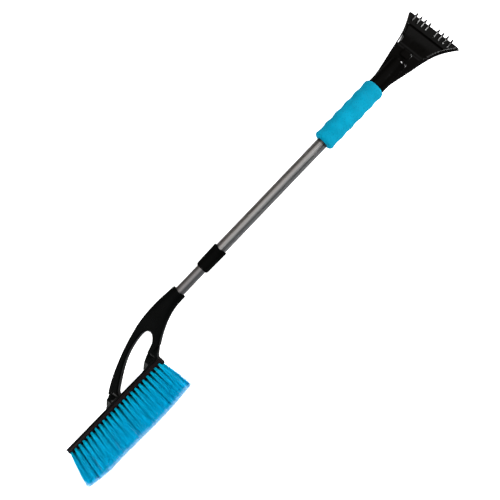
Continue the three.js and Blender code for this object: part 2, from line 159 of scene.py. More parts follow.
def skin(distance, low, high, cell):
    """The surface where distance(x, y, z) is zero, as points and quads.

    One point goes in each cell that the surface crosses, at the middle of its
    crossings of the cell's edges, and is then moved onto the surface.
    """
    axes = [np.arange(a - cell, b + 2 * cell, cell, dtype=np.float32) for a, b in zip(low, high)]
    grid = np.meshgrid(*axes, indexing="ij", sparse=True)
    field = np.broadcast_to(distance(*grid), [len(a) for a in axes]).astype(np.float32)
    cells = tuple(np.array(field.shape) - 1)
    total = np.zeros((*cells, 3), np.float32)
    crossings = np.zeros(cells, np.float32)
    quads = []
    for axis in range(3):
        near = [slice(None)] * 3
        far = [slice(None)] * 3
        near[axis], far[axis] = slice(0, -1), slice(1, None)
        a, b = field[tuple(near)], field[tuple(far)]
        at = np.argwhere((a < 0) != (b < 0))
        first = a[tuple(at.T)]
        second = b[tuple(at.T)]
        where = at.astype(np.float32)
        where[:, axis] += first / (first - second)
        others = [i for i in range(3) if i != axis]
        inner = np.all([(at[:, i] > 0) & (at[:, i] < cells[i]) for i in others], axis=0)
        at, where, first = at[inner], where[inner], first[inner]
        around = []
        for step in ((0, 0), (1, 0), (1, 1), (0, 1)):
            corner = at.copy()
            corner[:, others[0]] -= step[0]
            corner[:, others[1]] -= step[1]
            key = tuple(corner.T)
            np.add.at(total, key, where)
            np.add.at(crossings, key, 1)
            around.append(np.ravel_multi_index(key, cells))
        quad = np.stack(around, 1)
        flip = (first < 0) if axis == 1 else (first > 0)
        quad[flip] = quad[flip][:, ::-1]
        quads.append(quad)
    used = np.flatnonzero(crossings.ravel())
    index = np.full(crossings.size, -1, np.int64)
    index[used] = np.arange(len(used))
    middle = total.reshape(-1, 3)[used] / crossings.ravel()[used][:, None]
    start = np.array([a[0] for a in axes], np.float32)
    points = (middle * cell + start).astype(np.float64)
    points = settle(points, distance, cell)
    faces = index[np.concatenate(quads)]
    return points, faces if signed_volume(points, faces) > 0 else faces[:, ::-1]


def settle(points, distance, cell, rounds=3):
    """Moves points onto the surface where distance is zero."""
    step = 0.05 * cell
    for _ in range(rounds):
        here = distance(*points.T)
        slope = np.empty_like(points)
        for axis in range(3):
            ahead, behind = points.copy(), points.copy()
            ahead[:, axis] += step
            behind[:, axis] -= step
            slope[:, axis] = (distance(*ahead.T) - distance(*behind.T)) / (2 * step)
        size = np.maximum((slope ** 2).sum(1), 0.2)
        move = -(here / size)[:, None] * slope
        length = np.maximum(np.linalg.norm(move, axis=1), 1e-9)
        points = points + move * np.minimum(1, 0.4 * cell / length)[:, None]
    return points


def make_moulded(node, body, material, distance, margin, fine, sharp_angle):
    """A moulded piece: the skin of a solid, looked for within a margin of its CAD node's box."""
    low = [span(node, axis)[0] - margin for axis in range(3)]
    high = [span(node, axis)[1] + margin for axis in range(3)]
    points, faces = skin(distance, low, high, fine)
    finish_piece(make_object(node + "_moulded", points, faces, sharp_angle), body, material, node)


# ---- Distances ---------------------------------------------------------------
# These are in millimetres, negative inside. A sloped face is scaled by about the cosine of its slope,
# so that it stays close to a true distance.

def either(a, b, blend=0.0):
    """The union of two solids, with a fillet of about the blend's size."""
    return -both(-a, -b, blend)


def both(a, b, blend=0.0):
    """Where two solids overlap, with a round of about the blend's size."""
    if not blend:
        return np.maximum(a, b)
    near = np.clip(blend - np.abs(a - b), 0, None) / blend
    return np.maximum(a, b) + near * near * blend / 4


def between(value, low, high):
    return np.maximum(low - value, value - high)


def smoothstep(value, low, high):
    t = np.clip((value - low) / (high - low), 0, 1)
    return t * t * (3 - 2 * t)


def curve(pairs):
    """A smooth function through given [x, value] pairs."""
    xs, values = np.array(pairs, float).T
    slopes = np.gradient(values, xs)

    def at(x):
        x = np.clip(x, xs[0], xs[-1])
        i = np.clip(np.searchsorted(xs, x, side="right") - 1, 0, len(xs) - 2)
        width = xs[i + 1] - xs[i]
        t = (x - xs[i]) / width
        start, end = values[i], values[i + 1]
        first, last = slopes[i] * width, slopes[i + 1] * width
        cube, square = t ** 3, t ** 2
        return (
            (2 * cube - 3 * square + 1) * start + (cube - 2 * square + t) * first
            + (3 * square - 2 * cube) * end + (cube - square) * last
        )
    return at


def spline(points, steps=10):
    """Points along a smooth path through the given ones."""
    given = np.array(points, float)
    given = np.vstack([2 * given[0] - given[1], given, 2 * given[-1] - given[-2]])
    path = []
    for i in range(1, len(given) - 2):
        a, b, c, d = given[i - 1:i + 3]
        for t in np.linspace(0, 1, steps, endpoint=False):
            path.append(0.5 * (
                2 * b + (c - a) * t + (2 * a - 5 * b + 4 * c - d) * t ** 2
                + (3 * b - a - 3 * c + d) * t ** 3
            ))
    path.append(given[-2])
    return np.array(path)


def flat_distance(x, y, outline):
    """How far points of a plane are from a closed outline, negative inside it."""
    shape = np.broadcast_shapes(np.shape(x), np.shape(y))
    px = np.broadcast_to(x, shape).ravel()
    py = np.broadcast_to(y, shape).ravel()
    nearest = np.full(px.shape, 1e9)
    inside = np.zeros(px.shape, bool)
    for (ax, ay), (bx, by) in zip(outline, np.roll(outline, -1, axis=0)):
        ex, ey = bx - ax, by - ay
        along = np.clip(((px - ax) * ex + (py - ay) * ey) / (ex * ex + ey * ey + 1e-12), 0, 1)
        nearest = np.minimum(nearest, (px - ax - along * ex) ** 2 + (py - ay - along * ey) ** 2)
        if ay != by:
            crosses = ((ay > py) != (by > py)) & (px < ex * (py - ay) / ey + ax)
            inside ^= crosses
    return (np.sqrt(nearest) * np.where(inside, -1, 1)).reshape(shape)


def slab(flat, z, half, rounding):
    """A flat shape made solid between -half and half, with round edges."""
    a = flat + rounding
    b = np.abs(z) - half + rounding
    outside = np.hypot(np.maximum(a, 0), np.maximum(b, 0))
    return np.minimum(np.maximum(a, b), 0) + outside - rounding


# ---- Materials ---------------------------------------------------------------

MIX_FIRST, MIX_SECOND, MIX_RESULT = 6, 7, 2  # a Mix node's sockets for colours


class Nodes:
    """The node tree of a material or a world, built by short calls."""

    def __init__(self, owner, shader, coordinates="Object"):
        owner.use_nodes = True
        self.owner = owner
        self.tree = owner.node_tree
        self.shader = self.tree.nodes[shader]
        self.here = self.add("TexCoord").outputs[coordinates]

    def put(self, socket, value):
        if isinstance(value, bpy.types.NodeSocket):
            self.tree.links.new(value, socket)
        else:
            socket.default_value = value

    def add(self, kind, values=None, **settings):
        node = self.tree.nodes.new("ShaderNode" + kind)
        for key, value in settings.items():
            setattr(node, key, value)
        for key, value in (values or {}).items():
            self.put(node.inputs[key], value)
        return node

    def stretched(self, scale):
        """Coordinates scaled along each axis."""
        mapping = self.add("Mapping", {"Vector": self.here, "Scale": scale})
        return mapping.outputs["Vector"]

    def noise(self, scale, detail=4.0, rough=0.55, vector=None):
        values = {"Vector": vector or self.here, "Scale": scale, "Detail": detail, "Roughness": rough}
        return self.add("TexNoise", values).outputs["Fac"]

    def ramp(self, value, low, high, to_low=0.0, to_high=1.0):
        values = {"Value": value, "From Min": low, "From Max": high, "To Min": to_low, "To Max": to_high}
        return self.add("MapRange", values).outputs["Result"]

    def mix(self, share, first, second, blend="MIX"):
        node = self.add("Mix", {"Factor": share}, data_type="RGBA", blend_type=blend)
        for index, colour in ((MIX_FIRST, first), (MIX_SECOND, second)):
            linked = isinstance(colour, bpy.types.NodeSocket)
            self.put(node.inputs[index], colour if linked else (*colour, 1))
        return node.outputs[MIX_RESULT]

    def math(self, operation, *values):
        node = self.add("Math", operation=operation)
        for socket, value in zip(node.inputs, values):
            self.put(socket, value)
        return node.outputs[0]

    def bump(self, height, strength, distance, under=None):
        values = {"Height": height, "Strength": strength, "Distance": distance}
        if under:
            values["Normal"] = under
        return self.add("Bump", values).outputs["Normal"]

    def use(self, **values):
        """Puts values into the shader, whose socket names have _ for a space here."""
        for key, value in values.items():
            self.put(self.shader.inputs[key.replace("_", " ")], value)
        return self.owner


def surface(name, colour, roughness, metallic=0.0):
    """The nodes of a new material. Its plain values stand where nothing is linked later."""
    nodes = Nodes(bpy.data.materials.new(name), "Principled BSDF")
    nodes.use(Base_Color=(*colour, 1), Roughness=roughness, Metallic=metallic)
    return nodes


def shaded(colour, factor):
    return [channel * factor for channel in colour]


def moulded_plastic(name, colour, worn, roughness, grain, relief, shine=0.5):
    """Injection-moulded plastic: fine grain, faint flow clouds and paler worn edges."""
    nodes = surface(name, colour, roughness)
    clouds = nodes.noise(22, 3)
    fine = nodes.noise(grain, 2, 0.6)
    scratches = nodes.noise(160, 3, 0.7, nodes.stretched((0.12, 1, 1)))
    edges = nodes.ramp(nodes.add("NewGeometry").outputs["Pointiness"], 0.53, 0.6)
    patchy = nodes.math("MULTIPLY", edges, nodes.ramp(clouds, 0.4, 0.65))
    base = nodes.mix(nodes.ramp(clouds, 0.35, 0.65), colour, [c * 1.35 + 0.0004 for c in colour])
    base = nodes.mix(nodes.math("MULTIPLY", patchy, 0.55), base, worn)
    rough = nodes.ramp(scratches, 0.3, 0.75, roughness - 0.06, roughness + 0.12)
    relief_normal = nodes.bump(fine, relief, 0.0002)
    return nodes.use(
        Base_Color=base, Roughness=rough, Specular_IOR_Level=shine,
        Normal=nodes.bump(scratches, 0.04, 0.0002, relief_normal),
    )


# Painted shade: a dark olive colour painted on the outer tube just in front of the grip, standing in for
# the grip's shade there. The inner tube gets the same dark from 2 mm inside the collar onwards.
TUBE_DARK_COLOUR = (0.05, 0.048, 0.035)
DARK_FADE = 0.002  # metres over which the dark band sets in
GRIP_SHADE = 0.005  # metres of tube in front of the grip painted dark, as painted shade of the grip
COLLAR_CLEAR = 0.002  # metres of inner tube in the collar left as they are: beyond them the tube is painted dark, which shows when it is pulled out


def drawn_aluminium(name, colour, roughness, darkened_from):
    """Drawn tube: long fine lines along x, a faint bloom, soft scuffs and, beyond an x, a painted dark
    band.
    """
    nodes = surface(name, colour, roughness, 1.0)
    lines = nodes.noise(900, 2, 0.6, nodes.stretched((0.012, 1, 1)))
    bloom = nodes.noise(14, 4)
    scuffs = nodes.noise(60, 5, 0.7, nodes.stretched((1, 3, 3)))
    base = nodes.mix(nodes.ramp(lines, 0.3, 0.7), shaded(colour, 0.86), colour)
    base = nodes.mix(nodes.ramp(bloom, 0.45, 0.7, 0, 0.35), base, shaded(colour, 0.8))
    along = nodes.add("SeparateXYZ", {"Vector": nodes.here}).outputs["X"]
    # Painted shade: beyond the given x the tube is painted dark. On the outer tube this is the grip's shade
    # in front of it.
    darkened = nodes.ramp(along, darkened_from, darkened_from + DARK_FADE, 0, 0.8)
    base = nodes.mix(darkened, base, TUBE_DARK_COLOUR)
    marks = nodes.ramp(scuffs, 0.5, 0.8, 0, 0.12)
    rough = nodes.math("ADD", marks, nodes.ramp(lines, 0.2, 0.8, roughness - 0.05, roughness + 0.08))
    return nodes.use(Base_Color=base, Roughness=rough, Normal=nodes.bump(lines, 0.12, 0.0001))


def foam_rubber(name, colour):
    """Closed-cell foam: a fine cell skin, larger pores with painted shade in them and slightly uneven dye.
    """
    nodes = surface(name, colour, 0.92)
    cells = nodes.add("TexVoronoi", {"Vector": nodes.here, "Scale": 900}, feature="F1")
    pores = nodes.add("TexVoronoi", {"Vector": nodes.here, "Scale": 330}, feature="F1")
    dye = nodes.noise(30, 5, 0.6)
    base = nodes.mix(nodes.ramp(dye, 0.3, 0.7), shaded(colour, 0.8), shaded(colour, 1.12))
    depth = nodes.ramp(pores.outputs["Distance"], 0.0, 0.35)
    # Painted shade: each pore is painted darker towards its middle.
    base = nodes.mix(depth, shaded(colour, 0.6), base)
    skin_normal = nodes.bump(cells.outputs["Distance"], 0.35, 0.0002)
    return nodes.use(
        Base_Color=base, Specular_IOR_Level=0.03,
        Normal=nodes.bump(depth, 0.4, 0.0003, skin_normal),
    )


def filament(name, root, middle, tip, painted_root_glow):
    """Nylon bristles: each strand has its own tone; the roots are painted darker as shade and glow faintly
    as painted light; the outer part is painted lighter; frayed tips are pale and glow as painted light.
    """
    nodes = surface(name, middle, 0.42)
    along = nodes.add("Attribute", attribute_name="along").outputs["Fac"]
    tone = nodes.add("Attribute", attribute_name="tone").outputs["Fac"]
    # Painted shade: the root colour is darker, as the shade near the block.
    base = nodes.mix(nodes.ramp(along, 0.0, 0.25), root, middle)
    base = nodes.mix(nodes.math("MULTIPLY", tone, 0.45), base, shaded(middle, 0.5))
    # Painted light: the outer part of each strand is painted lighter.
    base = nodes.mix(nodes.ramp(along, 0.7, 0.96, 0, 0.5), base, shaded(middle, 1.3))
    odd = nodes.math("MULTIPLY", nodes.ramp(tone, 0.9, 0.95), nodes.ramp(along, 0.3, 0.9, 0, 0.5))
    base = nodes.mix(odd, base, tip)
    frayed = nodes.math("ADD", along, nodes.math("MULTIPLY", tone, 0.07))
    pale_tips_and_glow = nodes.math("MULTIPLY", nodes.ramp(frayed, 0.975, 1.035), nodes.ramp(tone, 0.0, 1.0, 1.0, 0.75))
    base = nodes.mix(pale_tips_and_glow, base, tip)
    # Painted light: the roots glow dark teal, as light seen among the tufts, and the frayed tips glow pale.
    root_glow = nodes.mix(nodes.ramp(along, 0.1, 0.6), painted_root_glow, (0, 0, 0))
    glow = nodes.mix(pale_tips_and_glow, root_glow, tip)
    streaks = nodes.noise(700, 2, 0.5, nodes.stretched((1, 0.05, 1)))
    rough = nodes.ramp(streaks, 0.3, 0.7, 0.34, 0.5)
    return nodes.use(
        Base_Color=base, Roughness=rough, Specular_IOR_Level=0.03,
        Emission_Color=glow, Emission_Strength=0.28,
        Normal=nodes.bump(streaks, 0.1, 0.0001),
    )


def plated_steel(name, colour):
    """Zinc-plated screw steel with faint turning marks and dull patches."""
    nodes = surface(name, colour, 0.35, 1.0)
    patches = nodes.noise(500, 4, 0.6)
    marks = nodes.noise(2500, 2, 0.5)
    base = nodes.mix(nodes.ramp(patches, 0.35, 0.7), colour, shaded(colour, 0.7))
    rough = nodes.ramp(patches, 0.3, 0.7, 0.28, 0.5)
    return nodes.use(Base_Color=base, Roughness=rough, Normal=nodes.bump(marks, 0.15, 0.0001))


WORN_BLACK = (0.006, 0.006, 0.006)
gloss_black = moulded_plastic(
    "head_gloss_black", (0.0009, 0.0008, 0.0007), WORN_BLACK,
    roughness=0.12, grain=900, relief=0.04, shine=0.07)
satin_black = moulded_plastic(
    "yoke_satin_black", (0.0009, 0.0011, 0.001), WORN_BLACK,
    roughness=0.28, grain=2200, relief=0.3, shine=0.06)
collar_black = moulded_plastic(
    "collar_satin_black", (0.0009, 0.001, 0.0009), WORN_BLACK,
    roughness=0.4, grain=2200, relief=0.3, shine=0.05)
block_black = moulded_plastic(
    "block_brown_black", (0.0038, 0.0023, 0.0026), (0.012, 0.008, 0.008),
    roughness=0.45, grain=1600, relief=0.3, shine=0.06)
nylon_grey = moulded_plastic(
    "nylon_grey", (0.15, 0.16, 0.17), (0.3, 0.3, 0.3), roughness=0.5, grain=1800, relief=0.3)
outer_metal = drawn_aluminium(
    "drawn_aluminium", (0.8, 0.79, 0.78), 0.25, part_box("foam_grip")[0].x - GRIP_SHADE)
inner_metal = drawn_aluminium(
    "drawn_aluminium_inner", (0.62, 0.61, 0.61), 0.32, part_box("lock_collar")[0].x + COLLAR_CLEAR)
screw_metal = plated_steel("plated_steel", (0.55, 0.56, 0.57))
grip_foam = foam_rubber("blue_foam", (0.0012, 0.214, 0.337))
# The root colour is painted shade; painted_root_glow and the tip glow are painted light.
bristle_blue = filament(
    "blue_filament", root=(0.0, 0.34, 0.49), middle=(0.0, 0.45, 0.75), tip=(0.4, 0.72, 1.0),
    painted_root_glow=(0, 0.065, 0.045))


# ---- Pole and twist lock -----------------------------------------------------

TUBE_SIDES, COLLAR_SIDES = 160, 192
TUBE_WALL = 0.8
TUBE_EDGE = 0.25  # rounding of a tube's cut ends
TUBE_BORE = 9.05  # radius of the holes that the inner tube passes through
COLLAR_TAPER = 0.8  # how much slimmer the collar is at its brush end
COLLAR_CHAMFER, COLLAR_CHAMFER_LENGTH = 1.9, 2.6
COLLAR_BAND = 3.0  # length of the full width at the head end
COLLAR_EDGE = 0.5
THREAD_START, THREAD_BORE = 14.0, 11.4
COLLET_START, COLLET_END = 2.5, 13.0
COLLET_SLIM, COLLET_WIDE = 10.1, 10.65  # the radii of the room for the collet
NOTCH_DEPTH, NOTCH_HALF, NOTCH_REACH = 2.5, 8.5, 12.0


def radius_of(node):
    """The radius of a round CAD node that lies along the pole."""
    low, high = span(node, 2)
    return (high - low) / 2


def make_tube(node, material, body):
    start, end = span(node)
    radius = radius_of(node)
    corners = [(start, radius - TUBE_WALL), (start, radius), (end, radius), (end, radius - TUBE_WALL)]
    points, faces = turned(rounded(corners, TUBE_EDGE), TUBE_SIDES)
    finish_piece(make_object(node + "_drawn", points, faces), body, material, node)


def make_collar():
    """The twist lock's collar, with a V notch across its head end."""
    start, end = span("lock_collar")
    wide = radius_of("lock_collar")
    slim = wide - COLLAR_TAPER
    outside = [
        (start, TUBE_BORE), (start, slim - COLLAR_CHAMFER), (start + COLLAR_CHAMFER_LENGTH, slim),
        (end - COLLAR_BAND, wide), (end, wide),
    ]
    inside = [
        (end, THREAD_BORE), (THREAD_START, THREAD_BORE), (COLLET_END, COLLET_WIDE),
        (COLLET_START, COLLET_SLIM), (COLLET_START, TUBE_BORE),
    ]

    def notched(points):
        depth = NOTCH_DEPTH * np.clip(1 - np.abs(points[:, 1]) / NOTCH_HALF, 0, None)
        share = np.clip((points[:, 0] - end + NOTCH_REACH) / NOTCH_REACH, 0, 1)
        points[:, 0] -= depth * share
        return points

    points, faces = turned(rounded(outside + inside, COLLAR_EDGE), COLLAR_SIDES, notched)
    item = make_object("lock_collar_moulded", points, faces, 30)
    finish_piece(item, "collar", collar_black, "lock_collar")


make_tube("outer_tube", outer_metal, "handle")
make_tube("inner_tube", inner_metal, "brush_pole")
make_collar()

# ---- Foam grip ---------------------------------------------------------------

GRIP_BORE = 10.3
GRIP_SWELLS = (288, 312, 333.5, 357, 379.5, 402)  # x of the grip's swellings
GRIP_HOLLOW = 1.25  # how much slimmer it is between them
GRIP_START_INSET, GRIP_END_INSET = 0.3, 1.0  # and at its two ends
GRIP_ROUNDING = 5.0
GRIP_STATIONS, GRIP_FACE_STATIONS, GRIP_BORE_STATIONS = 420, 8, 60
GRIP_SIDES = 288
GRIP_SEED = 7
LUMP_WAVES, LUMP_PACE = 24, (0.15, 1.6)
LUMP_HEIGHT = 0.35
LUMP_SKIN = 3.0  # depth of foam over which the lumps fade towards the bore


def grip_outline(start, end, radius):
    """The grip's section as a closed outline of [x, r], with soft ends."""
    lows = [(a + b) / 2 for a, b in zip(GRIP_SWELLS, GRIP_SWELLS[1:])]
    swells = sorted([(x, 0.0) for x in GRIP_SWELLS] + [(x, GRIP_HOLLOW) for x in lows])
    hollow = curve([(start, GRIP_START_INSET), *swells, (end, GRIP_END_INSET)])
    outer = []
    for x in np.linspace(start, end, GRIP_STATIONS):
        inward = GRIP_ROUNDING - min(x - start, end - x, GRIP_ROUNDING)
        drop = GRIP_ROUNDING - math.sqrt(max(GRIP_ROUNDING ** 2 - inward ** 2, 0))
        outer.append((x, radius - drop - hollow(x)))
    head_face = [(end, r) for r in np.linspace(outer[-1][1], GRIP_BORE, GRIP_FACE_STATIONS)[1:]]
    bore = [(x, GRIP_BORE) for x in np.linspace(end, start, GRIP_BORE_STATIONS)[1:]]
    brush_face = [(start, r) for r in np.linspace(GRIP_BORE, outer[0][1], GRIP_FACE_STATIONS)[1:-1]]
    return np.array(outer + head_face + bore + brush_face)


def lumpy(points):
    """Foam is never quite even: low waves outside, and none at the bore."""
    rng = np.random.default_rng(GRIP_SEED)
    waves = rng.normal(size=(LUMP_WAVES, 3)) * rng.uniform(*LUMP_PACE, (LUMP_WAVES, 1))
    phases = rng.uniform(0, 2 * math.pi, LUMP_WAVES)
    lumps = np.sin(points @ waves.T + phases).mean(1)
    out = np.hypot(points[:, 1], points[:, 2])
    share = np.clip((out - GRIP_BORE - 1) / LUMP_SKIN, 0, 1)
    points[:, 1:] *= (1 + share * LUMP_HEIGHT * lumps / out)[:, None]
    return points


def make_grip():
    """A foam sleeve that swells and narrows along its length."""
    outline = grip_outline(*span("foam_grip"), radius_of("foam_grip"))
    points, faces = turned(outline, GRIP_SIDES, lumpy)
    item = make_object("foam_grip_soft", points, faces, 60)
    finish_piece(item, "handle", grip_foam, "foam_grip")


make_grip()

# ---- Scraper head ------------------------------------------------------------

HEAD_ROLL = math.radians(-10.6)
SCREW_HOLE, SCREW_HEAD_HOLE = 1.7, 3.5  # radii of the holes of the head's and the throat's screws
SCREW_HOLE_TOP = -5.0
NECK_START, NECK_END, NECK_RADIUS = 409.5, 462, 14.7
NOSE_LENGTH = 9.5  # of the neck's round end
NECK_BORE, NECK_BORE_END = 10.3, 458.3
HEAD_SCREW = 438
COUNTERBORE_TOP = -12.3
BUMP_MIDDLE, BUMP_HALF, BUMP_HALF_WIDTH, BUMP_HEIGHT = 481, 7, 9, 2.6
PLATE_START, UNDERSIDE_START, BLADE_EDGE = 425, 446, 547.2
RIM_HEIGHT = 3.3
DROP_START, BLADE_DROP = 480, 12.8  # the plate curves down from here, by this much
LEAN_START = 520  # from here to the edge, the plate's middle leans 1 mm sideways
TRAY_START, TRAY_END, TRAY_DEPTH = 484, 528.5, 3.0
TRAY_RAMP = 11  # length over which the tray gets its depth
NARROW_RIM, WIDE_RIM = 1.0, 2.4  # the rims beside the tray
PLATE_THICKNESS, LIP_THICKNESS, LIP_THINNING = 5.5, 4.0, 2.8
SKIRT_WALL = 2.2
TOOTH_START, TOOTH_TIP = 534.5, 553
TOOTH_RISE, TOOTH_SINK = 4.7, 0.6
TOOTH_CREST, CREST_CHANGE, TOOTH_BEVEL = 1.9, 0.8, 1.2
TOOTH_PITCH = 9.55
TOOTH_SIDES = [sign * TOOTH_PITCH * (i + 0.97) + 0.85 for i in range(4) for sign in (1, -1)]
plate_half = curve([
    (PLATE_START, 14.4), (450, 19.3), (471, 23.8), (490, 27.5), (505, 31), (520, 36.3), (535, 44.2),
    (BLADE_EDGE, 51.5),
])
skirt_flare = curve([(PLATE_START, 0.8), (480, 2), (515, 3), (BLADE_EDGE, 3.7)])
skirt_height = curve([(PLATE_START, 4), (450, 6), (480, 7), (BLADE_EDGE, 6.6)])


def plate_top(x):
    along = np.clip((x - DROP_START) / (BLADE_EDGE - DROP_START), 0, None)
    return RIM_HEIGHT - BLADE_DROP * along ** 1.7


def plate_slope(x):
    return (plate_top(x + 0.1) - plate_top(x - 0.1)) / 0.2


def plate_thickness(x):
    """Even under the tray, and thinning towards the edge beyond it."""
    lip = LIP_THICKNESS - LIP_THINNING * np.clip((x - TRAY_END) / (BLADE_EDGE - TRAY_END), 0, 1)
    return PLATE_THICKNESS + (lip - PLATE_THICKNESS) * smoothstep(x, TRAY_END - 6, TRAY_END)


def tray_distance(x, across, depth, side):
    """The shallow tray. The wall on one side has a bevel along its top."""
    tray_floor = TRAY_DEPTH * smoothstep(x, TRAY_START, TRAY_START + TRAY_RAMP)
    rim = np.where(across > 0, WIDE_RIM, NARROW_RIM)
    wall = (side + rim) * 0.9 + 0.6 * np.clip(depth, 0, TRAY_DEPTH)
    bevel = (side + NARROW_RIM) * 0.5 + 0.87 * depth
    wall = np.where(across > 0, np.minimum(wall, bevel), wall)
    front = (x - TRAY_END) + 0.25 * depth
    return both(both(depth - tray_floor, wall, 0.9), both(front, TRAY_START - x), 0.9)


def plate_distance(x, across, height):
    """The flared plate with its skirts, hollow underneath and with a tray on top."""
    depth = (plate_top(x) - height) / np.sqrt(1 + plate_slope(x) ** 2)
    lower = skirt_height(x)
    half = plate_half(x) + skirt_flare(x) * np.clip(depth / lower, -0.2, 1.3)
    side = (np.abs(across + smoothstep(x, LEAN_START, BLADE_EDGE)) - half) * 0.88
    body = both(both(-depth, side, 0.5), depth - lower, 0.6)
    body = both(body, between(x, PLATE_START, BLADE_EDGE), 0.4)
    under = both(plate_thickness(x) - depth, side + SKIRT_WALL, 1.5)
    under = both(under, UNDERSIDE_START - x, 1.5)
    return both(both(body, -under, 0.8), -tray_distance(x, across, depth, side), 0.5)


def tooth_distance(x, across, height, side):
    """A fin that is straight on one side and sloped on the other, with a raked point."""
    crest = TOOTH_CREST + CREST_CHANGE * smoothstep(x, BLADE_EDGE - 2, BLADE_EDGE + 1)
    crest = crest - CREST_CHANGE * smoothstep(x, BLADE_EDGE + 2, TOOTH_TIP)
    bevel = TOOTH_BEVEL * (1 - smoothstep(x, BLADE_EDGE - 4, BLADE_EDGE - 1))
    up = height - plate_top(np.minimum(x, BLADE_EDGE))
    beyond = np.clip(x - BLADE_EDGE, 0, None)
    climb = np.clip((x - TOOTH_START) / (TOOTH_TIP - TOOTH_START) * 1.6, 0, 1)
    ridge = 0.2 + (TOOTH_RISE - 0.2) * climb - 0.15 * beyond
    from_side = side - across
    flank = (from_side - crest - bevel) * 0.95
    roof = (up - ridge + 0.4 * (crest - from_side)) * 0.93
    slope = (up - ridge + 0.58 * (from_side - crest)) * 0.87
    rake = np.clip((up + TOOTH_SINK) / (TOOTH_RISE + TOOTH_SINK), 0, 1)
    point = BLADE_EDGE + 0.2 + (TOOTH_TIP - BLADE_EDGE - 0.2) * rake
    fin = np.maximum(np.maximum(-from_side, flank), np.maximum(roof, slope))
    fin = np.maximum(fin, -up - TOOTH_SINK)
    return np.maximum(fin, np.maximum((x - point) * 0.8, TOOTH_START - x))


def head_distance(x, y, z):
    """The neck, its round nose, a bump, the plate and the teeth, all rolled about the pole."""
    across = y * math.cos(HEAD_ROLL) + z * math.sin(HEAD_ROLL)
    height = z * math.cos(HEAD_ROLL) - y * math.sin(HEAD_ROLL)
    out = np.hypot(across, height)
    nose = np.clip(x - NECK_END, 0, None) * NECK_RADIUS / NOSE_LENGTH
    neck = both(np.sqrt(out ** 2 + nose ** 2) - NECK_RADIUS, NECK_START - x, 0.5)
    bump = (
        ((x - BUMP_MIDDLE) / BUMP_HALF) ** 4 + (across / BUMP_HALF_WIDTH) ** 4
        + ((height - RIM_HEIGHT) / BUMP_HEIGHT) ** 4
    ) ** 0.25
    body = either(plate_distance(x, across, height), neck, 1.6)
    body = either(body, (bump - 1) * BUMP_HEIGHT, 0.9)
    teeth = tooth_distance(x, across, height, TOOTH_SIDES[0])
    for side in TOOTH_SIDES[1:]:
        teeth = np.minimum(teeth, tooth_distance(x, across, height, side))
    body = either(body, teeth, 0.5)
    body = both(body, -both(out - NECK_BORE, x - NECK_BORE_END))
    from_screw = np.hypot(x - HEAD_SCREW, across)
    body = both(body, -both(from_screw - SCREW_HEAD_HOLE, height - COUNTERBORE_TOP))
    return both(body, -both(from_screw - SCREW_HOLE, height - SCREW_HOLE_TOP))


make_moulded(
    "scraper_head", "handle", gloss_black, head_distance,
    margin=3, fine=0.45, sharp_angle=35)

# ---- Brush yoke --------------------------------------------------------------

MOUTH, MOUTH_ROUND = -54.9, 0.5
MOUTH_NOTCH, MOUTH_NOTCH_HALF = 1.6, 9.5
BORE_END = -88
YOKE_SCREW = -74
YOKE_HALF, YOKE_ROUND = 12.0, 3.2
WEB_HALF, WEB_FILLET = 5, 1.5
BAR_START, BAR_END, BAR_HALF = -366.0, -155.6, 13.3
RAIL, RAIL_FACE, RAIL_RISE = 3.0, -46.7, 1.9
POCKET_FLOOR = 2.5
POCKET_RISE = 0.6  # how fast a pocket's floor rises below POCKET_TOP
POCKET_TOP = -36
FOOT_TOP, FOOT_BOTTOM = -37, -47
FOOT_LIPS = ((-246, -300), (-158, -200))  # where each foot's sloped side ends and starts
LIP_SLOPE = 0.4
END_SLOPE = 0.53  # how the brush's scraper end slopes down over its last millimetres
END_SLOPE_START = -159.5
BLOCK_SCREWS = (-346, -300, -218)
BLOCK_SCREW_HOLE, BLOCK_SCREW_HEAD_HOLE, BLOCK_SCREW_HEAD_DEPTH = 1.5, 2.9, 1.6
BLEND_START, BLEND_END = -142, -92  # between these, the legs turn into the throat
YOKE_SCREW_HEAD_DEPTH = 1.6
FAR_INSIDE = -9  # a distance that leaves a solid as it is


def rail_face(x):
    return RAIL_FACE - RAIL_RISE * (x - BAR_START) / (BAR_END - BAR_START)


THROAT_UPPER = [(MOUTH, 13.2), (-79, 15), (-99, 15.8), (-117, 14.9), (-133, 12.6), (-149, 9.5)]
THROAT_LOWER = [(-117, -25.4), (-99, -18.4), (-79, -13.6), (MOUTH, -12.6)]
throat_upper = curve(THROAT_UPPER[::-1])
throat_lower = curve([(-149, -43), (-133, -33.4), *THROAT_LOWER])
throat_power = curve([(-149, 4), (-125, 3.2), (-95, 2.4), (MOUTH, 2)])  # 2 is an ellipse
yoke_outline = np.vstack([
    spline([*THROAT_UPPER, (-178, 1.7), (-208, -9), (-237.5, -22.3), (-259, -35.5)]),
    [(-261, -50), (-243.5, -50)],
    spline([
        (-243.5, -46), (-239.5, -40.5), (-229, -33.5), (-209, -21.3), (-189, -12), (-169, -6.2),
        (-148, -3.7), (-138.5, -6.5), (-135, -12), (-136, -17.5), (-143, -24.8), (-150, -28.4), (-162, -32),
    ]),
    [(-163.5, -50), (BAR_END, -50)],
    spline([(BAR_END, -48), (-149, -43.4), (-139, -37), (-128.5, -30.8), *THROAT_LOWER]),
])
rail_outline = np.array([
    (BAR_END, rail_face(BAR_END)), (BAR_END, rail_face(BAR_END) - RAIL),
    (BAR_START, rail_face(BAR_START) - RAIL), (BAR_START, rail_face(BAR_START)),
])
webs = [
    np.array([(-281, -50), (-281, -47.6), (-273, -44), (-264, -36.4), (-255, -33), (-250, -50)]),
    np.array([
        (-191, -50), (-191, -47.4), (-185, -43.2), (-178, -38.8), (-168, -34.2), (-160, -31.8), (-160, -50),
    ]),
]
